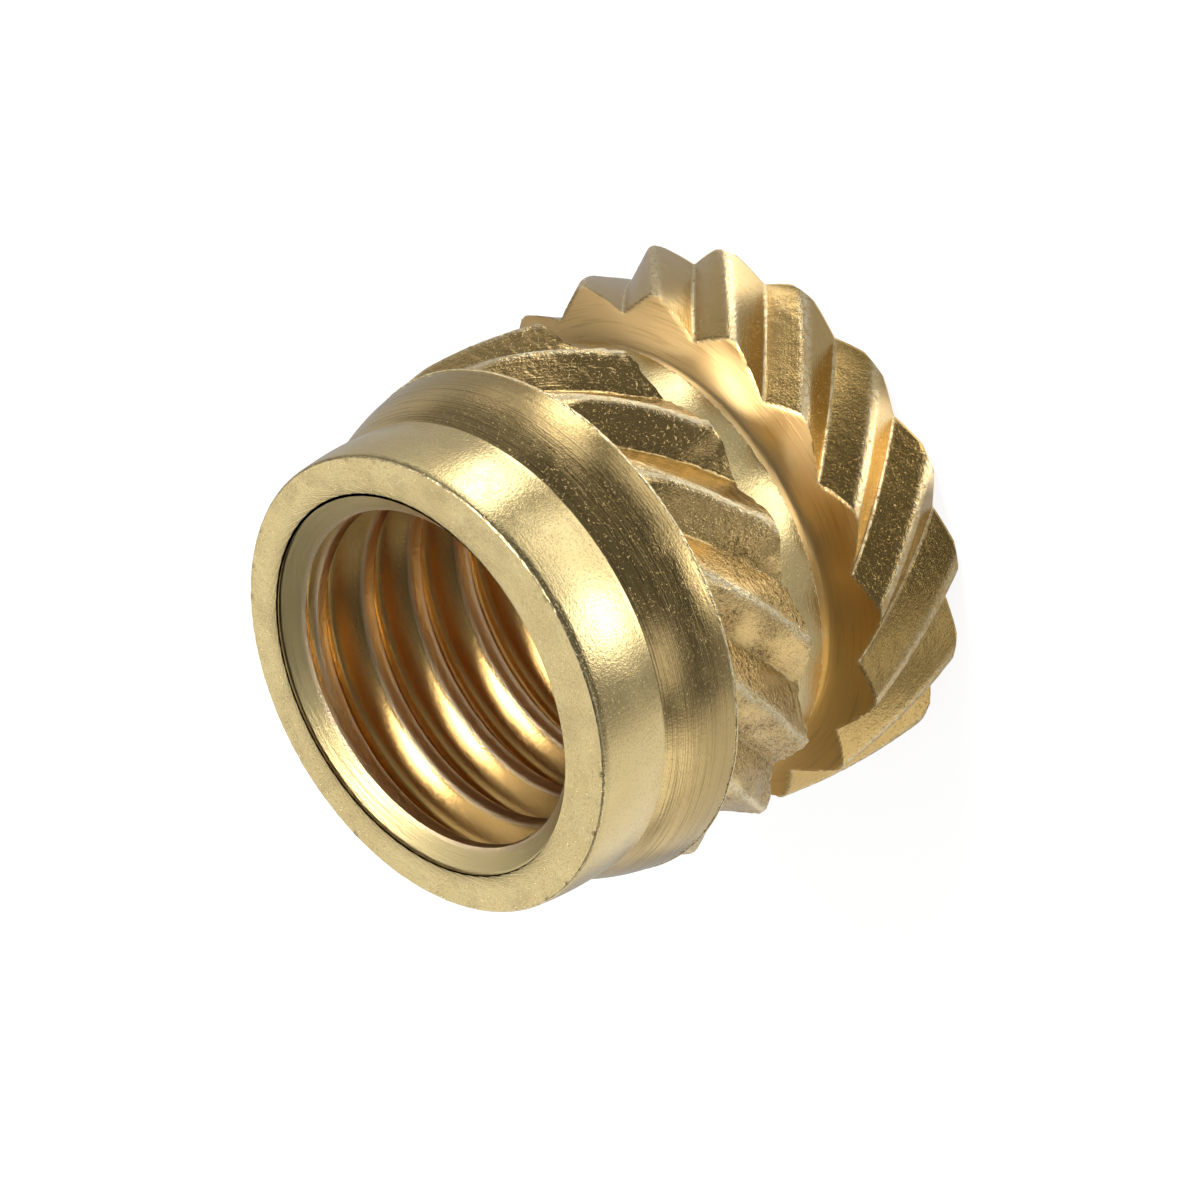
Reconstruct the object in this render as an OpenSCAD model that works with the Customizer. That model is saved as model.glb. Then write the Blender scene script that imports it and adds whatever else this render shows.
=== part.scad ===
// Brass threaded insert for plastic bosses, for an M8 screw.
// It is turned from one bar. The insert stands on its flat rear end, with the
// bore axis on Z and the smooth pilot uppermost. From the top down it has the
// pilot, a rounded shoulder, a right-hand knurl, a smooth strip that narrows
// into a groove, and a coarser left-hand knurl. The two knurls lean opposite
// ways, so that neither a turning screw nor a pull can walk the insert out.

/* [Overall] */
// Length from the flat rear end to the pilot end
overall_length = 9; // [7.6:0.1:14]
// Diameter over the crests of the rear knurl, the widest place
knurl_diameter = 10.4; // [9.6:0.1:14]

/* [Bore] */
// Diameter of the bore that the screw thread is cut in
bore_diameter = 6.8; // [4:0.1:7.4]
// How far the countersink in the pilot end reaches beyond the bore's wall
mouth_width = 0.5; // [0.1:0.05:0.8]
// Depth of the square step at the rim of the countersink
mouth_step = 0.04; // [0.01:0.01:0.2]
// Depth of the countersink, with its step
mouth_depth = 0.2; // [0.1:0.05:0.8]
// Width of the 45 degree chamfer in the rear end
rear_chamfer = 0.6; // [0.2:0.05:0.8]

/* [Pilot] */
// How far the pilot's wall lies inside the knurl crests
pilot_step = 0.6; // [0.4:0.05:0.9]
// Chamfer on the outer edge of the pilot end
pilot_edge = 0.05; // [0.02:0.01:0.2]

/* [Shoulder] */
// Distance from the pilot end to the rim of the shoulder
shoulder_depth = 3.05; // [2.6:0.05:4]
// How far the rim lies inside the knurl crests
shoulder_step = 0.15; // [0.05:0.05:0.3]
// Radius of the shoulder's rounded flank
shoulder_round = 3.1; // [2.4:0.1:5]
// Slope of the flank at the rim, in degrees from the axis
rim_slope = 6; // [2:1:12]
// Radius in the corner between the pilot and the shoulder
neck_round = 0.2; // [0.05:0.05:0.5]

/* [Knurls] */
// Helix angle of both knurls at their crests, in degrees from the axis
knurl_angle = 47; // [30:1:55]
// Width of the flat land on each crest, measured round the bar
crest_land = 0.24; // [0.1:0.02:0.5]
// Width of the bottom of each valley, measured round the bar
root_land = 0.12; // [0.06:0.02:0.4]
// Chamfer on the ends of the rear knurl's teeth
tooth_edge = 0.1; // [0.02:0.02:0.3]
// Length of the front knurl
front_length = 2.12; // [1.2:0.05:3]
// Number of teeth of the front knurl
front_teeth = 14; // [10:1:24]
// Depth of the front knurl's valleys
front_depth = 0.55; // [0.3:0.05:0.6]
// How far the front knurl's crests lie inside the rear knurl's
front_step = 0.05; // [0:0.01:0.1]
// How much nearer the axis those crests are at the shoulder
front_taper = 0.06; // [0:0.01:0.1]
// Angle of a front crest at the lower end of its knurl
front_phase = 6; // [0:1:30]
// Number of teeth of the rear knurl
rear_teeth = 16; // [10:1:24]
// Depth of the rear knurl's valleys
rear_depth = 0.46; // [0.3:0.02:0.6]
// Angle of a rear crest at the flat rear end
rear_phase = 13; // [0:1:30]

/* [Groove] */
// Length of the smooth strip below the front knurl
strip_length = 1; // [0.5:0.05:2]
// How far the strip's upper edge lies inside the knurl crests
strip_step = 0.5; // [0.3:0.05:0.7]
// Width of the groove, from the strip to the rear knurl
groove_width = 0.45; // [0.35:0.05:1.5]
// How far the groove's floor lies inside the knurl crests
groove_step = 0.96; // [0.7:0.02:1.1]
// Radius in the corner between the groove and the rear knurl
groove_round = 0.25; // [0.1:0.05:0.3]

/* [Hidden] */

BRASS = [0.72, 0.61, 0.38];
ROUND = 128;      // segments of a turned surface
ARC_STEPS = 8;    // segments of a rounded corner in the section
SLICE = 2;        // twist of one slice of a knurl, in degrees
OVERRUN = 0.2;    // how far a cutting shape runs past what it cuts
ROOT_COVER = 0.12; // how deep the turned core lies under the knurl valleys

crest_r = knurl_diameter / 2;
pilot_r = crest_r - pilot_step;
rim_r = crest_r - shoulder_step;
strip_r = crest_r - strip_step;
groove_r = crest_r - groove_step;
bore_r = bore_diameter / 2;
mouth_r = bore_r + mouth_width;
rear_mouth_r = bore_r + rear_chamfer;
front_crest_r = crest_r - front_step;
front_root_r = front_crest_r - front_depth;
rear_root_r = crest_r - rear_depth;

// Heights of the turned stations, from the pilot end down
rim_z = overall_length - shoulder_depth;
strip_z = rim_z - front_length;
groove_z = strip_z - strip_length;
rear_length = groove_z - groove_width;

// The shoulder's flank is an arc that leaves the rim at rim_slope. The neck's
// corner touches both the pilot's wall and that arc.
flank_r = rim_r - shoulder_round * cos(rim_slope);
flank_z = rim_z - shoulder_round * sin(rim_slope);
neck_r = pilot_r + neck_round;
neck_z = flank_z + sqrt(pow(shoulder_round + neck_round, 2) - pow(neck_r - flank_r, 2));
flank_end = atan2(neck_z - flank_z, neck_r - flank_r);

// Points of an arc about [cx, cy], from angle a to angle b
function arc(cx, cy, r, a, b) =
    [for (i = [0 : ARC_STEPS])
        let (t = a + (b - a) * i / ARC_STEPS)
        [cx + r * cos(t), cy + r * sin(t)]];

// Section of the turned bar, without the knurls' teeth
module bar_section() {
    polygon(concat(
        [[0, 0],
         [rear_root_r - ROOT_COVER, 0],
         [rear_root_r - ROOT_COVER, rear_length]],
        arc(groove_r + groove_round, rear_length + groove_round, groove_round, 270, 180),
        [[groove_r, groove_z],
         [strip_r, strip_z],
         [front_root_r - ROOT_COVER, strip_z],
         [front_root_r - ROOT_COVER, rim_z]],
        arc(flank_r, flank_z, shoulder_round, rim_slope, flank_end),
        arc(neck_r, neck_z, neck_round, 180 + flank_end, 180),
        [[pilot_r, overall_length - pilot_edge],
         [pilot_r - pilot_edge, overall_length],
         [0, overall_length]]));
}

// Outline of a knurl with V teeth. The flanks pass through the edges of the
// crest lands and run on to a point, which the blank below cuts to the land.
module tooth_outline(teeth, root_r, top_r) {
    pitch = 360 / teeth;
    root_half = root_land / root_r * 90 / PI;
    land_half = crest_land / top_r * 90 / PI;
    valley = root_r * [cos(pitch / 2 - root_half), sin(pitch / 2 - root_half)];
    land = top_r * [cos(land_half), sin(land_half)];
    point_r = valley[0] + (land[0] - valley[0]) * valley[1] / (valley[1] - land[1]);
    polygon([for (i = [0 : teeth - 1], side = [-1 : 1])
        let (a = i * pitch)
        side == 0
            ? point_r * [cos(a), sin(a)]
            : root_r * [cos(a + side * (pitch / 2 - root_half)),
                        sin(a + side * (pitch / 2 - root_half))]]);
}

// One knurled band, standing on height z. hand is 1 for a right-hand helix and
// -1 for a left-hand one, and a crest starts at angle phase on height z.
module knurl(z, length, low_r, high_r, root_r, teeth, hand, phase, edge) {
    top_r = max(low_r, high_r);
    turn = tan(knurl_angle) / crest_r * 180 / PI;
    reach = length + 2 * OVERRUN;
    intersection() {
        rotate_extrude($fn = ROUND)
            polygon([[0, z],
                     [low_r - edge, z],
                     [low_r, z + edge],
                     [high_r, z + length - edge],
                     [high_r - edge, z + length],
                     [0, z + length]]);
        translate([0, 0, z - OVERRUN])
            rotate(phase - hand * turn * OVERRUN)
                linear_extrude(height = reach, twist = -hand * turn * reach,
                               slices = ceil(turn * reach / SLICE))
                    tooth_outline(teeth, root_r, top_r);
    }
}

// Bore, with the stepped countersink above and the chamfer below
module bore() {
    rotate_extrude($fn = ROUND)
        polygon([[0, -OVERRUN],
                 [rear_mouth_r + OVERRUN, -OVERRUN],
                 [bore_r, rear_chamfer],
                 [bore_r, overall_length - mouth_depth],
                 [mouth_r, overall_length - mouth_step],
                 [mouth_r, overall_length + OVERRUN],
                 [0, overall_length + OVERRUN]]);
}

module insert_body() {
    color(BRASS)
        difference() {
            union() {
                rotate_extrude($fn = ROUND) bar_section();
                knurl(0, rear_length, crest_r, crest_r, rear_root_r,
                      rear_teeth, -1, rear_phase, tooth_edge);
                knurl(strip_z, front_length, front_crest_r, front_crest_r - front_taper,
                      front_root_r, front_teeth, 1, front_phase, 0);
            }
            bore();
        }
}

insert_body();
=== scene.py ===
"""Looks of the brass threaded insert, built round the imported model.

The insert is one turned piece, so it is one closed mesh. Its turned section is
laid out as rings, and Geometry Nodes cut the two knurls and the thread into it.
Lengths in formulas and ring lists are millimetres; Blender's objects are metres.
"""
import math
from types import SimpleNamespace

import bpy
from mathutils import Matrix, Vector


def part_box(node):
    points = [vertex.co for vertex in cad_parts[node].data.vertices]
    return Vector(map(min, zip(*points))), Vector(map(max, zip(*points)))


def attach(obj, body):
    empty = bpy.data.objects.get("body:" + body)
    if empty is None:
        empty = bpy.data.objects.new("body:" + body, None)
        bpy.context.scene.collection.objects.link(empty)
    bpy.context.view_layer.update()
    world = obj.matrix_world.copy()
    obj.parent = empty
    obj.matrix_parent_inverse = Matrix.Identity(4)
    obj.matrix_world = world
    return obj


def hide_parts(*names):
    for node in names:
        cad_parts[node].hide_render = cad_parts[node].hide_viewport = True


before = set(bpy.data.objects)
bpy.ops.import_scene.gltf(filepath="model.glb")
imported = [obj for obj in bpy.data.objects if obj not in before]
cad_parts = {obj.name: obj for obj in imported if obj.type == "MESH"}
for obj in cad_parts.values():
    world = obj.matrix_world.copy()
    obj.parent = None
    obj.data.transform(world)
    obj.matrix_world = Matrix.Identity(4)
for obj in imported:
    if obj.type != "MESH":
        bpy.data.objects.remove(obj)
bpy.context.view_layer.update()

MM = 0.001
BODY = "insert_body"
PIECE = "brass_insert"
body_low, body_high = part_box(BODY)

# ---------------------------------------------------------------- sizes, in mm
LENGTH = (body_high.z - body_low.z) / MM
CREST_R = (body_high.x - body_low.x) / 2 / MM
BORE_R = 3.4
PILOT_R = 4.6

# On both end faces: the innermost ring of the skin, and the line where the bore's finish ends
SEAM_R = PILOT_R - 0.4
INSIDE_R = BORE_R + 0.7

# Turned surfaces, as radii inside the knurl crests and as heights from the rear end
RIM_R = CREST_R - 0.15
STRIP_R = CREST_R - 0.7
LIP_R = STRIP_R - 0.08
GROOVE_R = CREST_R - 0.96
RIM_Z = LENGTH - 3.05
NECK_Z = RIM_Z + 1.42
STRIP_Z = RIM_Z - 2.12
LIP_Z = STRIP_Z - 0.85
WALL_Z = STRIP_Z - 1.17

SHOULDER_ROUND = 3.8
RIM_SLOPE = math.radians(6)
NECK_ROUND = 0.06
PILOT_EDGE = 0.05
REAR_EDGE = 0.1

# Countersink: a step near the face, and the foot where it meets the bore
MOUTH_STEP_Z = LENGTH - 0.07
MOUTH_STEP_SHARE = 0.88
MOUTH_FOOT_Z = LENGTH - 0.28
REAR_CHAMFER = 0.6

# Knurls. A helix rate is in turns per mm of height, and a phase in turns
HELIX_RATE = math.tan(math.radians(47)) / CREST_R / (2 * math.pi)
GATHERING = 0.55
FRONT_TEETH, FRONT_PHASE = 14, 6 / 360
FRONT_CREST_R, FRONT_ROOT_R = CREST_R - 0.05, CREST_R - 0.52
FRONT_CREST_LAND, FRONT_ROOT_LAND = 0.12, 0.06
REAR_TEETH, REAR_PHASE = 16, 13 / 360
REAR_ROOT_R = CREST_R - 0.46
REAR_CREST_LAND, REAR_ROOT_LAND = 0.18, 0.07

THREAD_PITCH, THREAD_DEPTH = 1.25, 0.57
THREAD_FLANK = math.radians(35)

# Mesh resolution
SKIN_COLUMNS = FRONT_TEETH * REAR_TEETH * 2
BORE_COLUMNS = 192
THREAD_ROWS = 18
SHARP_ANGLE = math.radians(32)


def add_object(name, data):
    """A new object in the scene."""
    item = bpy.data.objects.new(name, data)
    bpy.context.scene.collection.objects.link(item)
    return item


# ------------------------------------------------------------ sums in node trees
class Term:
    """A number in a node tree. Arithmetic on terms adds the nodes that work it out."""

    def __init__(self, socket):
        self.socket = socket

    def __add__(self, other):
        return work("ADD", self, other)

    __radd__ = __add__

    def __mul__(self, other):
        return work("MULTIPLY", self, other)

    __rmul__ = __mul__

    def __sub__(self, other):
        return work("SUBTRACT", self, other)

    def __rsub__(self, other):
        return work("SUBTRACT", other, self)

    def __truediv__(self, other):
        return work("DIVIDE", self, other)

    def __pow__(self, other):
        return work("POWER", self, other)

    def __neg__(self):
        return work("MULTIPLY", self, -1.0)

    def __abs__(self):
        return work("ABSOLUTE", self)


def feed(socket, value):
    """Gives a node's input a term, another node's output or a plain value."""
    if isinstance(value, Term):
        value = value.socket
    if isinstance(value, bpy.types.NodeSocket):
        socket.id_data.links.new(value, socket)
    else:
        socket.default_value = value


def tree_of(*values):
    """The node tree that the first term among the values is in."""
    return next(value for value in values if isinstance(value, Term)).socket.id_data


def work(operation, *values):
    """One sum, named as Blender's math node names it."""
    node = tree_of(*values).nodes.new("ShaderNodeMath")
    node.operation = operation
    for socket, value in zip(node.inputs, values):
        feed(socket, value)
    return Term(node.outputs[0])


def sine(value):
    return work("SINE", value)


def cosine(value):
    return work("COSINE", value)


def fraction(value):
    return work("FRACT", value)


def least(a, b, soft=0.0):
    """The smaller of two values, with the corner between them rounded by soft."""
    return work("SMOOTH_MIN", a, b, soft) if soft else work("MINIMUM", a, b)


def most(a, b, soft=0.0):
    """The larger of two values, with the corner between them rounded by soft."""
    return work("SMOOTH_MAX", a, b, soft) if soft else work("MAXIMUM", a, b)


def bell(value, width):
    """A hump of height 1 at value 0, fading to nothing a few widths away."""
    return work("EXPONENT", -((value / width) ** 2.0))


def ramp(value, start, end):
    """Goes smoothly from 0 to 1 as the value goes from start to end."""
    node = tree_of(value).nodes.new("ShaderNodeMapRange")
    node.interpolation_type = "SMOOTHSTEP"
    for socket, number in zip(node.inputs, (value, start, end)):
        feed(socket, number)
    return Term(node.outputs[0])


def blend(a, b, share):
    """a where the share is 0, and b where it is 1."""
    return a + (b - a) * share


def vector(x, y, z):
    node = tree_of(x, y, z).nodes.new("ShaderNodeCombineXYZ")
    for socket, value in zip(node.inputs, (x, y, z)):
        feed(socket, value)
    return node.outputs[0]


def noise(place, scale, detail=2.0, rough=0.5, distortion=0.0):
    """Smooth noise about 0, mostly within 0.5 either way."""
    node = place.id_data.nodes.new("ShaderNodeTexNoise")
    feed(node.inputs["Vector"], place)
    feed(node.inputs["Scale"], scale)
    feed(node.inputs["Detail"], detail)
    feed(node.inputs["Roughness"], rough)
    feed(node.inputs["Distortion"], distortion)
    return Term(node.outputs[0]) - 0.5


def open_group(name, inputs, outputs):
    """A new Geometry Nodes tree with named inputs and outputs."""
    tree = bpy.data.node_groups.new(name, "GeometryNodeTree")
    for side, names in (("INPUT", inputs), ("OUTPUT", outputs)):
        for socket_name in names:
            kind = "NodeSocketGeometry" if socket_name == "Geometry" else "NodeSocketFloat"
            tree.interface.new_socket(socket_name, in_out=side, socket_type=kind)
    source = tree.nodes.new("NodeGroupInput")
    sink = tree.nodes.new("NodeGroupOutput")
    given = {socket_name: Term(source.outputs[socket_name]) for socket_name in inputs}
    return tree, given, sink


# ------------------------------------------------------------- turned section
BLANK_ATTRIBUTES = ("turn", "height", "radius", "front_share", "rear_share", "thread_row")


def arc(centre_r, centre_z, radius, start, end, steps):
    """Points (height, radius) of an arc about a centre in the bar's section."""
    angles = (start + (end - start) * i / steps for i in range(steps + 1))
    return [(centre_z + radius * math.sin(a), centre_r + radius * math.cos(a)) for a in angles]


def heights(start, end, steps):
    """Heights from start to end in equal steps, without the end."""
    return [start + (end - start) * i / steps for i in range(steps)]


def plain(points):
    """Rings of a surface that no knurl cuts: height, radius and no share of a knurl."""
    return [(z, r, 0.0, 0.0) for z, r in points]


def pilot_rings():
    """Pilot end, its rough edge, and the faintly barrelled wall below it."""
    top, barrel = LENGTH - PILOT_EDGE, 0.045
    points = [(LENGTH, SEAM_R), (LENGTH, PILOT_R - 0.16), (LENGTH, PILOT_R - 0.045),
              (LENGTH - 0.012, PILOT_R - 0.03), (LENGTH - 0.03, PILOT_R - 0.012)]
    for z in heights(top, NECK_Z + 0.03, 11):
        along = (top - z) / (top - NECK_Z)
        points.append((z, PILOT_R + barrel * math.sin(math.pi * along)))
    return plain(points)


def shoulder_rings():
    """Corner below the pilot and the rounded flank that ends at the rim."""
    flank_r = RIM_R - SHOULDER_ROUND * math.cos(RIM_SLOPE)
    flank_z = RIM_Z - SHOULDER_ROUND * math.sin(RIM_SLOPE)
    neck_r = PILOT_R + NECK_ROUND
    neck_z = flank_z + math.sqrt((SHOULDER_ROUND + NECK_ROUND) ** 2 - (neck_r - flank_r) ** 2)
    end = math.atan2(neck_z - flank_z, neck_r - flank_r)
    neck = arc(neck_r, neck_z, NECK_ROUND, math.pi, math.pi + end, 4)
    flank = arc(flank_r, flank_z, SHOULDER_ROUND, end, RIM_SLOPE, 15)[1:]
    return plain(neck + flank)


def front_knurl_rings():
    """Rim, the step where the teeth begin, the teeth, and their torn lower ends."""
    rings = [(RIM_Z - 0.004, RIM_R + 0.018, 0.0, 0.0), (RIM_Z - 0.026, RIM_R + 0.022, 0.0, 0.0),
             (RIM_Z - 0.036, RIM_R + 0.01, 0.6, 0.0)]
    rings += [(z, RIM_R, 1.0, 0.0) for z in heights(RIM_Z - 0.04, STRIP_Z, 42)]
    rings += [(STRIP_Z, STRIP_R, share, 0.0) for share in (1.0, 0.6, 0.25)]
    return rings


def strip_rings():
    """Smooth strip that narrows to a sharp lip, and the groove's floor."""
    points = []
    for z in heights(STRIP_Z - 0.01, LIP_Z, 7):
        along = (STRIP_Z - z) / (STRIP_Z - LIP_Z)
        points.append((z, STRIP_R - (STRIP_R - LIP_R) * along ** 1.6))
    points += [(LIP_Z, LIP_R), (LIP_Z - 0.012, LIP_R - 0.02), (LIP_Z - 0.03, LIP_R - 0.1),
               (LIP_Z - 0.09, GROOVE_R - 0.05), (WALL_Z + 0.07, GROOVE_R - 0.03)]
    return plain(points)


def rear_knurl_rings():
    """Hollow wall from the groove to the rear teeth, the teeth, and the flat rear end. The
    wall's section is a quarter round mixed with a straight slope."""
    rise, run, steps = CREST_R + 0.02 - GROOVE_R, 0.5, 16
    rings = []
    for step in range(steps + 1):
        along = step / steps
        angle = along * math.pi / 2
        rings.append((WALL_Z - run * (0.35 * math.sin(angle) + 0.65 * along),
                      GROOVE_R + rise * (0.45 * (1 - math.cos(angle)) + 0.55 * along), 0.0, 1.0))
    top = rings[-1][0]
    rings += [(z, CREST_R, 0.0, 1.0) for z in heights(top - 0.04, REAR_EDGE, 40)]
    rings += [(REAR_EDGE, CREST_R, 0.0, 1.0), (REAR_EDGE / 2, CREST_R - 0.04, 0.0, 1.0),
              (0.0, CREST_R - REAR_EDGE, 0.0, 1.0)]
    return rings + plain([(0.0, SEAM_R + 0.25), (0.0, SEAM_R)])


def skin():
    """Outside of the insert: vertices, faces, and what the node tree needs at each."""
    rings = pilot_rings() + shoulder_rings() + front_knurl_rings()
    rings += strip_rings() + rear_knurl_rings()
    rows = [(column / SKIN_COLUMNS, *ring, -1.0) for ring in rings for column in range(SKIN_COLUMNS)]
    faces = []
    for ring in range(len(rings) - 1):
        for column in range(SKIN_COLUMNS):
            after = (column + 1) % SKIN_COLUMNS
            upper, lower = ring * SKIN_COLUMNS, (ring + 1) * SKIN_COLUMNS
            faces.append((upper + column, lower + column, lower + after, upper + after))
    return rows, faces


def mouth_width(turn):
    """How far the countersink reaches beyond the bore. It was cut a little off centre."""
    widest, lost, narrow_side = 0.5, 0.36, math.radians(-105)
    return widest - lost * ((1 + math.cos(2 * math.pi * turn - narrow_side)) / 2) ** 3


def bore():
    """Countersink, threaded wall and rear chamfer. The thread's rows climb with its helix, so
    its crest runs along the rows; rows past either end are gathered on that end's ring."""
    top, foot, bottom = MOUTH_STEP_Z, MOUTH_FOOT_Z, 0.0
    rings = [(LENGTH, 1.0), (top + 0.01, 0.97), (top, MOUTH_STEP_SHARE),
             ((top + foot) / 2, MOUTH_STEP_SHARE / 2), (foot + 0.01, MOUTH_STEP_SHARE / 26),
             (foot, 0.0)]
    rows = [(column / BORE_COLUMNS, z, BORE_R + share * mouth_width(column / BORE_COLUMNS),
             0.0, 0.0, -1.0)
            for z, share in rings for column in range(BORE_COLUMNS)]
    rows += [(column / BORE_COLUMNS, bottom, BORE_R + REAR_CHAMFER, 0.0, 0.0, -1.0)
             for column in range(BORE_COLUMNS)]
    mouth_ring, rear_ring = (len(rings) - 1) * BORE_COLUMNS, len(rings) * BORE_COLUMNS
    faces = []
    for ring in range(len(rings) - 1):
        for column in range(BORE_COLUMNS):
            after = (column + 1) % BORE_COLUMNS
            upper, lower = ring * BORE_COLUMNS, (ring + 1) * BORE_COLUMNS
            faces.append((upper + column, upper + after, lower + after, lower + column))

    turns = math.ceil(LENGTH / THREAD_PITCH) + 2
    known = {}

    def corner(row, column):
        """The vertex where a row and a column of the threaded wall cross."""
        row, column = (row + THREAD_ROWS, 0) if column == BORE_COLUMNS else (row, column)
        place = column / BORE_COLUMNS
        z = THREAD_PITCH * (row / THREAD_ROWS + place - 1.5)
        if z >= foot - 0.02:
            return mouth_ring + column
        if z <= bottom + 0.01:
            return rear_ring + column
        if (row, column) not in known:
            known[row, column] = len(rows)
            rows.append((place, z, BORE_R, 0.0, 0.0, row / THREAD_ROWS % 1.0))
        return known[row, column]

    for row in range(turns * THREAD_ROWS):
        for column in range(BORE_COLUMNS):
            loop = [corner(row + 1, column), corner(row + 1, column + 1),
                    corner(row, column + 1), corner(row, column)]
            face = [v for i, v in enumerate(loop) if v != loop[i - 1]]
            if len(face) > 2 and len(set(face)) == len(face):
                faces.append(tuple(face))
    return rows, faces, rear_ring


def stitch(first, first_count, second, second_count):
    """Triangles between two rings with different numbers of columns."""
    faces = []
    i = j = 0
    while i < first_count or j < second_count:
        if j == second_count or (i < first_count and (i + 1) / first_count <= (j + 1) / second_count):
            faces.append((first + i % first_count, first + (i + 1) % first_count,
                          second + j % second_count))
            i += 1
        else:
            faces.append((second + (j + 1) % second_count, second + j % second_count,
                          first + i % first_count))
            j += 1
    return faces


def turned_blank():
    """The bar as it leaves the lathe: rings whose places and shares are attributes."""
    rows, faces = skin()
    bore_rows, bore_faces, rear_ring = bore()
    start = len(rows)
    last_ring = start - SKIN_COLUMNS
    faces += [tuple(v + start for v in face) for face in bore_faces]
    faces += stitch(0, SKIN_COLUMNS, start, BORE_COLUMNS)
    faces += [face[::-1] for face in stitch(last_ring, SKIN_COLUMNS, start + rear_ring, BORE_COLUMNS)]
    rows += bore_rows

    mesh = bpy.data.meshes.new(PIECE)
    mesh.from_pydata([(0.0, 0.0, 0.0)] * len(rows), [], faces)
    for name, values in zip(BLANK_ATTRIBUTES, zip(*rows)):
        attribute = mesh.attributes.new(name, "FLOAT", "POINT")
        attribute.data.foreach_set("value", values)
    return mesh


# ------------------------------------------------------- knurls and thread cut
TREE_INPUTS = {
    "Front teeth": FRONT_TEETH, "Front crest radius": FRONT_CREST_R,
    "Front root radius": FRONT_ROOT_R, "Front phase": FRONT_PHASE,
    "Rear teeth": REAR_TEETH, "Rear crest radius": CREST_R,
    "Rear root radius": REAR_ROOT_R, "Rear phase": REAR_PHASE,
    "Helix rate": HELIX_RATE, "Rim height": RIM_Z, "Strip height": STRIP_Z,
    "Wall height": WALL_Z, "Bore radius": BORE_R, "Thread depth": THREAD_DEPTH,
    "Thread pitch": THREAD_PITCH, "Tearing": 0.35, "Seed": 3.0,
}


def knurl_group():
    """Node group for one knurl. Turn is a column's place round the bar, in turns from a
    crest. Columns gather towards the crest and the root, where the teeth bend."""
    tree, given, sink = open_group(
        "Knurl", ["Turn", "Teeth", "Crest radius", "Root radius", "Crest land", "Root land",
                  "Gathering"],
        ["Radius", "Shift", "Off crest"])
    teeth, corner_round = given["Teeth"], 0.03
    place = fraction(given["Turn"] * teeth + 0.5) - 0.5
    gather = given["Gathering"] * sine(place * (4 * math.pi)) / (4 * math.pi)
    off_crest = abs(place - gather)
    pitch = given["Crest radius"] * (2 * math.pi) / teeth
    land = given["Crest land"] / pitch / 2.0
    root = 0.5 - given["Root land"] / pitch / 2.0
    depth = given["Crest radius"] - given["Root radius"]
    flank = given["Root radius"] + depth * (root - off_crest) / (root - land)
    radius = least(most(flank, given["Root radius"], corner_round), given["Crest radius"],
                   corner_round)
    feed(sink.inputs["Radius"], radius)
    feed(sink.inputs["Shift"], -(gather / teeth))
    feed(sink.inputs["Off crest"], off_crest)
    return tree


def knurl(tree, group, **inputs):
    """One knurl cut by the group: its radius, its columns' shift, and their way off a crest."""
    node = tree.nodes.new("GeometryNodeGroup")
    node.node_tree = group
    for name, value in inputs.items():
        feed(node.inputs[name.replace("_", " ").capitalize()], value)
    return [Term(output) for output in node.outputs]


def blank_attribute(tree, name):
    """A number that the blank carries at each vertex."""
    node = tree.nodes.new("GeometryNodeInputNamedAttribute")
    node.data_type = "FLOAT"
    node.inputs["Name"].default_value = name
    return Term(node.outputs["Attribute"])


def thread_radius(given, row, height, across, along):
    """Radius of the bore: rounded grooves between narrow crests, whose lower edge is rolled."""
    half_groove = 0.41
    cut = (half_groove - abs(row - 0.5)) * given["Thread pitch"] / math.tan(THREAD_FLANK)
    cut = least(most(cut, 0.0, 0.07), given["Thread depth"], 0.14)
    cut = cut * ramp(height, MOUTH_FOOT_Z - 0.01, MOUTH_FOOT_Z - 0.22)
    lip = bell(row - 0.93, 0.05)
    bead = noise(vector(across * 3.4, along * 3.4, height), 2.5, 2.0)
    rear_cone = given["Bore radius"] + REAR_CHAMFER - height
    threaded = given["Bore radius"] + cut - (0.03 + 0.05 * bead) * lip
    return most(threaded, rear_cone)


def store_marks(tree, geometry, marks):
    """Leaves what the material reads at each vertex, and gives the geometry back."""
    for name, value in marks.items():
        store = tree.nodes.new("GeometryNodeStoreNamedAttribute")
        store.data_type = "FLOAT"
        store.domain = "POINT"
        store.inputs["Name"].default_value = name
        feed(store.inputs["Geometry"], geometry)
        feed(store.inputs["Value"], value)
        geometry = store.outputs["Geometry"]
    return geometry


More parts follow.
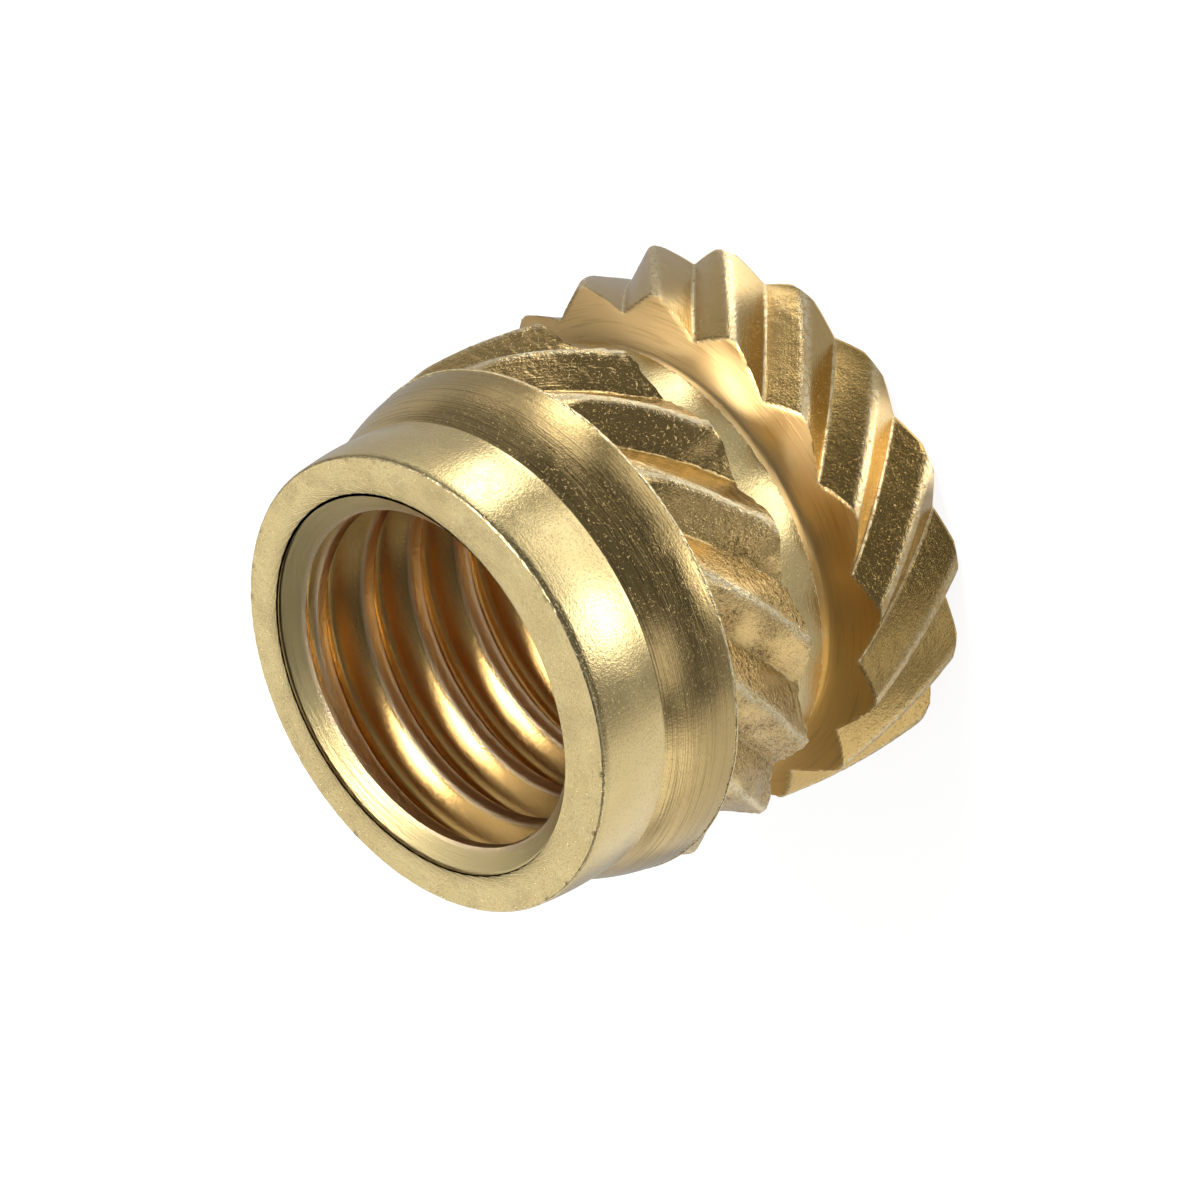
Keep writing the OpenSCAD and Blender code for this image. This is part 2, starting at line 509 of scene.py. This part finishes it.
def insert_tree(material):
    """Tree that cuts both knurls and the thread into the blank."""
    tree, given, sink = open_group("Threaded insert", ["Geometry", *TREE_INPUTS], ["Geometry"])
    group = knurl_group()
    turn, height, radius, front_share, rear_share, thread_row = (
        blank_attribute(tree, name) for name in BLANK_ATTRIBUTES)
    rim, strip, wall = given["Rim height"], given["Strip height"], given["Wall height"]
    rate = given["Helix rate"]
    on_thread = ramp(thread_row, -0.6, -0.4)
    on_skin = ramp(radius, INSIDE_R - 0.05, INSIDE_R + 0.05)

    # Where the columns lie round the bar: along each knurl's own teeth
    front_turn = given["Front phase"] + rate * (least(most(height, strip), rim) - strip)
    rear_turn = given["Rear phase"] - rate * least(height, wall) + 1 / REAR_TEETH
    front_weight = ramp(height, wall, strip)
    offset = blend(rear_turn, front_turn, front_weight) * on_skin
    in_front = ramp(height, strip - 0.5, strip) * ramp(height, rim + 0.8, rim) * on_skin
    in_rear = ramp(height, wall + 0.3, wall) * on_skin
    front_radius, front_shift, front_off = knurl(
        tree, group, turn=turn, teeth=given["Front teeth"],
        crest_radius=given["Front crest radius"], root_radius=given["Front root radius"],
        crest_land=FRONT_CREST_LAND, root_land=FRONT_ROOT_LAND, gathering=GATHERING * in_front)
    rear_radius, rear_shift, rear_off = knurl(
        tree, group, turn=turn, teeth=given["Rear teeth"],
        crest_radius=given["Rear crest radius"], root_radius=given["Rear root radius"],
        crest_land=REAR_CREST_LAND, root_land=REAR_ROOT_LAND, gathering=GATHERING * in_rear)
    angle = (turn + offset + front_shift * in_front + rear_shift * in_rear) * (2 * math.pi)
    across, along = cosine(angle), sine(angle)
    around = vector(across * radius, along * radius, height + given["Seed"])

    # Torn metal: the front teeth's lower ends and flanks, and every turned edge
    near_end = ramp(height, strip - 0.45, strip) * ramp(height, rim - 0.8, strip)
    ends = vector(across * 5.0, along * 5.0, given["Seed"])
    torn = (noise(ends, 2.2, 3.0, 0.6) + 0.35) * near_end * given["Tearing"]
    edge = (bell(height - rim, 0.04) + bell(height - LIP_Z, 0.03) * 0.8) * on_skin
    ragged = noise(around, 6.0, 3.0, 0.65) * edge * 0.07
    at_face = bell(height - LENGTH, 0.04) * ramp(radius, PILOT_R - 0.15, PILOT_R - 0.05)
    chipped = noise(around, 8.0, 3.0, 0.65) * at_face
    new_height = height + torn * on_skin + ragged
    lumps = noise(around, 3.1, 4.0, 0.6, 0.6) * 0.20 * front_off * (1.0 - front_off)
    lumps = lumps + noise(around, 9.0, 2.0, 0.6) * (0.035 + 0.06 * near_end)
    nicks = noise(around, 7.0, 3.0, 0.6) * (0.03 + 0.05 * bell(rear_off, 0.05))

    # The new radius: front teeth, rear teeth where they lie inside the hollow wall, thread
    worn_crest = given["Front crest radius"] - 0.10 * ramp(height, rim - 0.6, rim)
    shaped = blend(radius, least(front_radius + lumps, worn_crest, 0.01), front_share)
    cut_rear = rear_radius + nicks
    wall_left = rear_share * ramp(cut_rear - radius, -0.01, 0.02)
    shaped = blend(shaped, least(radius, cut_rear, 0.02), rear_share)
    threaded = thread_radius(given, thread_row, height, across, along)
    shaped = blend(shaped, threaded, on_thread) + chipped * 0.06

    move = tree.nodes.new("GeometryNodeSetPosition")
    feed(move.inputs["Geometry"], given["Geometry"])
    feed(move.inputs["Position"],
         vector(across * shaped * MM, along * shaped * MM, new_height * MM))
    marked = store_marks(tree, move.outputs["Geometry"], {
        "front": front_share, "front_off": front_off,
        "rear": rear_share, "rear_off": rear_off, "wall": wall_left})
    realize = tree.nodes.new("GeometryNodeRealizeInstances")
    feed(realize.inputs["Geometry"], marked)
    paint = tree.nodes.new("GeometryNodeSetMaterial")
    feed(paint.inputs["Geometry"], realize.outputs["Geometry"])
    paint.inputs["Material"].default_value = material
    feed(sink.inputs["Geometry"], paint.outputs["Geometry"])
    return tree


def crisp_countersink(mesh):
    """Smooth thread flanks, and crisp corners at the countersink's step and foot."""
    for edge in mesh.edges:
        ends = [mesh.vertices[v].co / MM for v in edge.vertices]
        if any(math.hypot(end.x, end.y) > INSIDE_R for end in ends):
            continue
        if all(0.2 < end.z < MOUTH_FOOT_Z - 0.03 for end in ends):
            edge.use_edge_sharp = False
        if any(all(abs(end.z - z) < 0.001 for end in ends) for z in (MOUTH_STEP_Z, MOUTH_FOOT_Z)):
            edge.use_edge_sharp = True


def cut_insert(material):
    """The finished insert: the blank with its knurls and thread cut."""
    blank = add_object("blank", turned_blank())
    tree = insert_tree(material)
    modifier = blank.modifiers.new("cut", "NODES")
    modifier.node_group = tree
    for item in tree.interface.items_tree:
        if item.in_out == "INPUT" and item.name in TREE_INPUTS:
            modifier[item.identifier] = float(TREE_INPUTS[item.name])
    depsgraph = bpy.context.evaluated_depsgraph_get()
    mesh = bpy.data.meshes.new_from_object(blank.evaluated_get(depsgraph), depsgraph=depsgraph)
    bpy.data.objects.remove(blank)
    mesh.name = PIECE
    for polygon in mesh.polygons:
        polygon.use_smooth = True
    mesh.set_sharp_from_angle(angle=SHARP_ANGLE)
    crisp_countersink(mesh)
    return add_object(PIECE, mesh)


# -------------------------------------------------------------------- materials
# Colours of the brass, where a tool or wear leaves it different, and painted shade and highlights
POLISHED = (0.79, 0.63, 0.31, 1.0)
DULLED = (0.68, 0.51, 0.22, 1.0)
KNURLED = (0.74, 0.53, 0.225, 1.0)
KNURL_ROOT = (0.60, 0.43, 0.18, 1.0)
REAR_KNURL = (0.64, 0.44, 0.165, 1.0)
HAIRLINE = (0.35, 0.255, 0.11, 1.0)
# Painted shade: the shoulder darkens towards the rim
RIM_PAINTED_SHADE = (0.42, 0.315, 0.14, 1.0)
# Painted shade: the bore is darker and more orange than the brass outside, for the shade deep inside
# it
BORE_PAINTED_SHADE = (0.74, 0.47, 0.16, 1.0)
THREAD_CREST = (0.80, 0.62, 0.40, 1.0)
# Painted light in the groove: lighter orange on the lit +x side, deeper orange on the shaded -x side,
# standing in for its own reflections
GROOVE_PAINTED_LIT_SIDE = (0.80, 0.55, 0.24, 1.0)
GROOVE_PAINTED_SHADED_SIDE = (0.72, 0.41, 0.10, 1.0)
GROOVE_LINE = (0.46, 0.27, 0.08, 1.0)
SPECK = (0.42, 0.30, 0.13, 1.0)
TORN_PIT = (0.20, 0.14, 0.06, 1.0)
# Bright worn burrs, and painted highlights along the edges and the rear roots
BURR_AND_PAINTED_HIGHLIGHT = (0.97, 0.84, 0.55, 1.0)
NEUTRAL_WHITE = (1.0, 1.0, 1.0, 1.0)


def open_material(name):
    """A new material with an empty tree and its output."""
    material = bpy.data.materials.new(name)
    material.use_nodes = True
    tree = material.node_tree
    tree.nodes.clear()
    output = tree.nodes.new("ShaderNodeOutputMaterial")
    return material, tree, output


def mark(tree, name):
    """A number that the geometry carries, read in a material."""
    node = tree.nodes.new("ShaderNodeAttribute")
    node.attribute_name = name
    return Term(node.outputs["Fac"])


def metal_place(tree):
    """Where a point of the metal lies, in mm, and vectors that run along the lathe's lines."""
    position = tree.nodes.new("ShaderNodeTexCoord").outputs["Object"]
    split = tree.nodes.new("ShaderNodeSeparateXYZ")
    feed(split.inputs[0], position)
    x, y, z = (Term(axis) / MM for axis in split.outputs)
    radius = (x * x + y * y) ** 0.5
    across, along = x / radius, y / radius
    tool_path = z - 0.9 * radius

    def lathe(spread, count):
        return vector(across * spread, along * spread, tool_path * count)

    return SimpleNamespace(
        z=z, radius=radius, across=across, point=vector(x, y, z),
        lathe=lathe(2.0, 38.0), lathe_fine=lathe(1.6, 62.0), lathe_wide=lathe(3.0, 8.0))


def metal_regions(tree, at):
    """How far a point belongs to each region of the insert, from 0 to 1."""
    front, front_off = mark(tree, "front"), mark(tree, "front_off")
    rear, rear_off, wall = mark(tree, "rear"), mark(tree, "rear_off"), mark(tree, "wall")
    z, radius = at.z, at.radius
    on = SimpleNamespace(front_off=front_off, rear_off=rear_off)
    on_teeth = ramp(radius, STRIP_R + 0.02, STRIP_R + 0.12) * ramp(z, RIM_Z + 0.01, RIM_Z - 0.03)
    on.front = front * on_teeth
    on.rear = rear * (1.0 - wall)
    on.groove = most(wall, ramp(z, LIP_Z - 0.02, LIP_Z - 0.06) * ramp(z, WALL_Z - 0.05, WALL_Z))
    on.groove = on.groove * ramp(radius, INSIDE_R - 0.02, INSIDE_R + 0.02)
    on.inside = ramp(radius, INSIDE_R + 0.02, INSIDE_R - 0.02) * ramp(z, LENGTH, LENGTH - 0.004)
    on.turned = (1.0 - on.front) * (1.0 - on.rear) * (1.0 - on.inside) * (1.0 - on.groove)
    on.thread_crest = on.inside * ramp(radius, BORE_R + 0.10, BORE_R + 0.03)
    on.mouth = on.inside * ramp(z, MOUTH_FOOT_Z - 0.02, MOUTH_FOOT_Z + 0.02)
    on.shoulder = ramp(z, RIM_Z - 0.02, RIM_Z + 0.02) * ramp(z, NECK_Z + 0.08, NECK_Z - 0.07)

    # Burrs and worn edges, which also carry painted highlight lines: rim, lip, pilot's edge, crests
    # of the teeth, rear roots
    edge = bell(z - RIM_Z, 0.02) * ramp(radius, RIM_R - 0.1, RIM_R - 0.05)
    edge = edge + bell(z - LIP_Z, 0.02) * ramp(radius, LIP_R - 0.08, LIP_R - 0.03)
    edge = edge + bell(radius - PILOT_R, 0.03) * bell(z - LENGTH, 0.03)
    edge = edge + on.front * bell(front_off, 0.06) + on.rear * bell(rear_off, 0.07)
    # Rear roots: a thin painted highlight line along each root
    edge = edge + on.rear * bell(rear_off - 0.5, 0.02)
    on.edge = least(edge, 1.0)
    return on


def metal_marks(at, on):
    """Patterns that tool and wear leave, before any depth or colour."""
    seen = SimpleNamespace()
    seen.clouds = noise(at.point, 0.9, 1.0)
    seen.patches = ramp(noise(at.point, 1.7, 1.0, 0.6), -0.02, 0.2)
    seen.lines = noise(at.lathe, 1.0, 2.0, 0.6)
    seen.hairlines = noise(at.lathe_fine, 1.0, 2.0, 0.65)
    seen.scratches = ramp(seen.hairlines, 0.13, 0.2)
    seen.wide_lines = noise(at.lathe_wide, 1.0, 2.0, 0.6)
    seen.grain = noise(at.point, 20.0, 3.0, 0.7)
    seen.pits = ramp(noise(at.point, 19.0, 1.0), 0.15, 0.22)
    seen.crumbs = noise(at.point, 11.0, 3.0, 0.7)
    torn_side = ramp(at.across, 0.15, -0.2)
    seen.torn = torn_side * ramp(noise(at.point, 1.1, 1.0), -0.22, 0.12) * on.front
    flank = (on.front_off * on.front + on.rear_off * on.rear) * 40.0
    seen.scores = noise(vector(flank, at.across * 5.0, at.z * 1.2), 1.0, 1.0, 0.6)
    return seen


def metal_relief(on, seen):
    """Height of the surface in mm: how deep each pattern goes in each region."""
    relief = on.turned * (seen.lines * 0.0017
                          + seen.wide_lines * (0.0024 - 0.0010 * on.shoulder)
                          - seen.scratches * (0.0004 + 0.0008 * on.shoulder))
    grain_turned = 0.0040 + 0.0040 * seen.patches - 0.0024 * on.shoulder
    relief += seen.grain * (0.0014 + grain_turned * on.turned + 0.0050 * on.front
                            + 0.0044 * on.rear - 0.0012 * on.groove)
    relief -= seen.pits * (0.0030 * on.turned + 0.006 * on.rear + 0.004 * on.front)
    relief += seen.crumbs * (0.0045 * on.turned - 0.0015 * on.shoulder + 0.008 * on.front
                             + 0.004 * on.rear + 0.075 * seen.torn + 0.042 * on.edge
                             + 0.014 * on.thread_crest)
    relief += on.inside * (seen.grain * 0.003 + seen.wide_lines * 0.005)
    relief += (seen.lines * 0.0030 + seen.wide_lines * 0.005) * on.groove
    relief += seen.lines * 0.008 * on.mouth
    return relief + seen.scores * (0.0055 * on.front + 0.003 * on.rear)


def metal_colour(tree, at, on, seen):
    """The brass's colour: coats laid over each other, each with its share."""
    def tint(under, over, share):
        node = tree.nodes.new("ShaderNodeMix")
        node.data_type = "RGBA"
        feed(node.inputs[0], share)
        feed(node.inputs[6], under)
        feed(node.inputs[7], over)
        return node.outputs[2]

    # Painted shade on the shoulder, growing towards the rim
    painted_shade_near_rim = on.shoulder * ramp(at.z, RIM_Z + 1.1, RIM_Z + 0.3)
    groove_lines = ramp(seen.wide_lines + 0.5 * seen.lines, 0.02, 0.25)
    coats = [
        (DULLED, least(ramp(seen.clouds, -0.25, 0.35) * 0.4 + 0.25 * on.front + 0.2 * on.rear, 1.0)),
        (KNURLED, least(on.front + 0.8 * on.shoulder, 1.0)),
        (KNURL_ROOT, on.front * ramp(on.front_off, 0.3, 0.5)),
        (REAR_KNURL, on.rear),
        (HAIRLINE, ramp(seen.hairlines, -0.03, 0.12) * 0.74 * on.shoulder),
        (RIM_PAINTED_SHADE, 0.7 * painted_shade_near_rim),
        # Painted shade over the whole bore except its mouth
        (BORE_PAINTED_SHADE, on.inside * (1.0 - on.mouth)),
        (THREAD_CREST, on.thread_crest * 0.8),
        # Painted light and shade: the groove goes from lighter orange at +x to deeper orange at -x
        (tint(GROOVE_PAINTED_LIT_SIDE, GROOVE_PAINTED_SHADED_SIDE, ramp(at.across, 0.1, -0.8)), on.groove),
        (GROOVE_LINE, groove_lines * 0.45 * on.groove),
        (SPECK, ramp(seen.grain, 0.03, 0.2) * (0.35 * on.turned + 0.3 * on.front)),
        (TORN_PIT, ramp(seen.crumbs, 0.01, 0.14) * seen.torn * 0.8),
        # Painted highlight along the edges and rear roots, over the bright worn burrs
        (BURR_AND_PAINTED_HIGHLIGHT, on.edge * ramp(seen.crumbs, -0.2, 0.1)),
    ]
    base = POLISHED
    for coat, share in coats:
        base = tint(base, coat, share)
    return base


def metal_roughness(on, seen):
    """Roughness of the turned metal, and what each rougher region adds."""
    rough = 0.13 + 0.06 * ramp(seen.clouds, -0.2, 0.2) + seen.lines * 0.05 * on.turned
    for region, more in ((on.front, 0.02), (on.rear, 0.02), (on.groove, 0.22),
                         (on.thread_crest, 0.12), (on.edge, 0.12), (on.mouth, 0.12),
                         (on.inside, 0.06)):
        rough += more * region
    return rough


def brass():
    """Bare turned brass: bright where the tool or wear polished it, with fine turning lines,
    grain, torn dark flanks on the knurls, bright burrs with painted highlights along every edge,
    and painted shade in the bore, in the groove and near the rim."""
    material, tree, output = open_material("turned brass")
    shader = tree.nodes.new("ShaderNodeBsdfPrincipled")
    shader.inputs["Metallic"].default_value = 1.0
    feed(output.inputs["Surface"], shader.outputs[0])
    at = metal_place(tree)
    on = metal_regions(tree, at)
    seen = metal_marks(at, on)
    bump = tree.nodes.new("ShaderNodeBump")
    bump.inputs["Distance"].default_value = MM
    feed(bump.inputs["Height"], metal_relief(on, seen))
    feed(shader.inputs["Normal"], bump.outputs[0])
    feed(shader.inputs["Base Color"], metal_colour(tree, at, on, seen))
    feed(shader.inputs["Roughness"], metal_roughness(on, seen))
    return material


# ------------------------------------------------------------------------ studio
CAMERA_ELEVATION = math.radians(37.17)
CAMERA_ROLL = math.radians(-119.15)
CAMERA_DISTANCE = 0.460
CAMERA_TARGET = Vector((-0.197, -2.168, 6.141)) * MM
CAMERA_LENS = 745.4

# Sheets of paper and windows of the light tent: middle and half width in degrees round it,
# start, end and softness in mm along its cloth, and brightness
TENT_SHEETS = [
    ("floor", 0, 180, 0, 60, 4, 0.48),
    ("under", 0, 180, 0, 9, 2, 0.46),
    ("back", -140, 110, 70, 210, 10, 0.28),
    ("back floor", 98, 44, 26, 70, 4, 1.1),
    ("left floor", 172, 28, 8, 34, 3, 0.9),
    ("left near floor", -156, 9, 8, 30, 3, 0.85),
    ("dark screen", -92, 56, 24, 52, 2, 0.09),
    ("dark wall", -86, 64, 48, 98, 5, 0.12),
    ("near grey", -128, 13, 70, 90, 4, 0.72),
    ("left wall", 180, 20, 56, 86, 4, 1.1),
    ("camera", -112, 36, 98, 160, 6, 0.12),
    ("right screen", 24, 46, 44, 92, 5, 0.2),
    ("right floor", 2, 20, 26, 46, 3, 0.26),
    ("shoulder card", -8, 13, 21, 28, 3, 1.2),
    ("far right card", -33, 12, 22, 48, 3, 2.2),
    ("right card", -26, 10, 11, 21.5, 2, 2.4),
    ("right glare", -29, 8, 12.5, 20, 2, 4.8),
    ("right strip card", -38, 7, 5, 9, 1, 2.8),
    ("near strip card", -95, 10, 5, 9, 1, 2.6),
    ("between cards", -66, 17, 10, 23, 2, 1.5),
    ("near card", -100, 17, 11, 21, 2, 1.8),
    ("near glare", -101, 9, 12.5, 19.5, 2, 4.8),
    ("gap", -46, 6, 9, 30, 2, 0.28),
    ("slit", -132, 6, 9, 32, 3, 0.3),
    ("side paper", 12, 30, 96, 140, 6, 0.75),
    ("left top", 170, 56, 112, 215, 8, 0.07),
    ("countersink sheet", 152, 24, 128, 150, 4, 0.42),
    ("dark top", -115, 50, 158, 206, 6, 0.12),
    ("bore patch", -98, 12, 165, 188, 5, 0.3),
    ("key window", -21, 23, 157, 194, 5, 18.0),
    ("face sheet", 90, 21, 96, 132, 6, 1.0),
]
TENT_LEVEL = 0.45
TENT_COLUMNS, TENT_RINGS = 180, 96
TENT_REACH, TENT_WALL_END, TENT_END = 60, 150, 210


def camera():
    """A long lens that looks down on the pilot end, rolled so that the insert lies on its side."""
    data = bpy.data.cameras.new("camera")
    data.lens = CAMERA_LENS
    data.sensor_width = 36.0
    data.clip_start = 0.01
    item = add_object("camera", data)
    tilt = Matrix.Rotation(math.pi / 2 - CAMERA_ELEVATION, 4, "X")
    turn = tilt @ Matrix.Rotation(CAMERA_ROLL, 4, "Z")
    back = turn @ Vector((0.0, 0.0, CAMERA_DISTANCE))
    item.matrix_world = Matrix.Translation(CAMERA_TARGET + back) @ turn
    bpy.context.scene.camera = item


def seen_background(tree):
    """1 for rays that see the background itself: from the camera, in metal and through glass."""
    path = tree.nodes.new("ShaderNodeLightPath")
    camera_ray, glossy_ray, glass_ray = (
        Term(path.outputs[name])
        for name in ("Is Camera Ray", "Is Glossy Ray", "Is Transmission Ray"))
    return most(most(camera_ray, glossy_ray), glass_ray)


def floor():
    """A pale floor that keeps the insert's shadow, and glows a little where it is seen."""
    half, paint, seen_paint, seen_glow = 3.0, 0.8, 0.2, 0.86
    material, tree, output = open_material("pale floor")
    plain_paint = tree.nodes.new("ShaderNodeBsdfDiffuse")
    plain_paint.inputs["Color"].default_value = (paint, paint, paint, 1.0)
    shaded = tree.nodes.new("ShaderNodeBsdfDiffuse")
    shaded.inputs["Color"].default_value = (seen_paint, seen_paint, seen_paint, 1.0)
    glow = tree.nodes.new("ShaderNodeEmission")
    glow.inputs["Strength"].default_value = seen_glow
    white = tree.nodes.new("ShaderNodeAddShader")
    feed(white.inputs[0], shaded.outputs[0])
    feed(white.inputs[1], glow.outputs[0])
    choice = tree.nodes.new("ShaderNodeMixShader")
    feed(choice.inputs[0], seen_background(tree))
    feed(choice.inputs[1], plain_paint.outputs[0])
    feed(choice.inputs[2], white.outputs[0])
    feed(output.inputs["Surface"], choice.outputs[0])
    mesh = bpy.data.meshes.new("floor")
    mesh.from_pydata([(-half, -half, 0), (half, -half, 0), (half, half, 0), (-half, half, 0)], [],
                     [(0, 1, 2, 3)])
    mesh.materials.append(material)
    add_object("floor", mesh)


def tent_section(along):
    """Radius and height, in mm, of the tent's cloth at a distance along it."""
    gap, pitch = 0.03, 0.3
    over = max(along - TENT_WALL_END, 0)
    radius = min(along, TENT_REACH)
    if over > 0:
        radius = TENT_REACH * (TENT_END - along) / (TENT_END - TENT_WALL_END)
    return max(radius, 0.01), gap + max(min(along, TENT_WALL_END) - TENT_REACH, 0) + over * pitch


def soft_box(value, low, high, soft):
    """1 from low to high and 0 outside, with soft edges."""
    share = min(max(0.5 + min(value - low, high - value) / soft, 0), 1)
    return share * share * (3 - 2 * share)


def tent_level(azimuth, along):
    """Brightness of the tent's cloth and sheets at a place on it."""
    level = TENT_LEVEL
    for _, middle, half, start, end, soft, brightness in TENT_SHEETS:
        off = abs((azimuth - middle + 180) % 360 - 180)
        share = (soft_box(off, -half, half, 5 + half / 8) if half < 180 else 1)
        share *= soft_box(along, start, end, soft)
        level += (brightness - level) * share
    return level


def light_tent():
    """Grey tent round the insert that only reflections see. Its cloth runs out along the floor,
    then up, and closes at the top."""
    positions, levels = [], []
    for ring in range(TENT_RINGS + 1):
        along = TENT_END * (ring / TENT_RINGS) ** 1.5
        radius, height = tent_section(along)
        for column in range(TENT_COLUMNS):
            azimuth = column * 360 / TENT_COLUMNS - 180
            turn = math.radians(azimuth)
            levels.append(tent_level(azimuth, along))
            positions.append((radius * MM * math.cos(turn), radius * MM * math.sin(turn),
                              height * MM))
    faces = []
    for ring in range(TENT_RINGS):
        lower, upper = ring * TENT_COLUMNS, (ring + 1) * TENT_COLUMNS
        for column in range(TENT_COLUMNS):
            after = (column + 1) % TENT_COLUMNS
            faces.append((lower + column, lower + after, upper + after, upper + column))
    mesh = bpy.data.meshes.new("light_tent")
    mesh.from_pydata(positions, [], faces)
    mesh.attributes.new("level", "FLOAT", "POINT").data.foreach_set("value", levels)

    material, tree, output = open_material("tent cloth")
    glow = tree.nodes.new("ShaderNodeEmission")
    feed(glow.inputs["Strength"], mark(tree, "level"))
    feed(output.inputs["Surface"], glow.outputs[0])
    material.cycles.emission_sampling = "NONE"
    mesh.materials.append(material)
    item = add_object("light_tent", mesh)
    item.visible_camera = False
    item.visible_diffuse = False
    item.visible_shadow = False
    item.visible_transmission = False


def lamp(name, azimuth, elevation, distance, size, power):
    """A square soft lamp aimed at the insert, not itself seen by the camera or in metal."""
    data = bpy.data.lights.new(name, "AREA")
    data.size = size
    data.energy = power
    a, e = math.radians(azimuth), math.radians(elevation)
    direction = Vector((math.cos(a) * math.cos(e), math.sin(a) * math.cos(e), math.sin(e)))
    item = add_object(name, data)
    item.matrix_world = (Matrix.Translation(direction * distance)
                         @ direction.to_track_quat("Z", "Y").to_matrix().to_4x4())
    item.visible_camera = False
    item.visible_glossy = False


def studio():
    """White world, pale floor, light tent and one soft lamp."""
    scene = bpy.context.scene
    scene.view_settings.view_transform = "Standard"
    world = bpy.data.worlds.new("studio")
    world.use_nodes = True
    tree = world.node_tree
    tree.nodes.clear()
    output = tree.nodes.new("ShaderNodeOutputWorld")
    sky = tree.nodes.new("ShaderNodeBackground")
    sky.inputs["Color"].default_value = NEUTRAL_WHITE
    feed(sky.inputs["Strength"], blend(0.8, 1.0, seen_background(tree)))
    feed(output.inputs["Surface"], sky.outputs[0])
    scene.world = world
    floor()
    light_tent()
    lamp("key", azimuth=-20, elevation=45, distance=0.3, size=0.15, power=1.2)


camera()
studio()
insert = cut_insert(brass())
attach(insert, "root")
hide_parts(BODY)
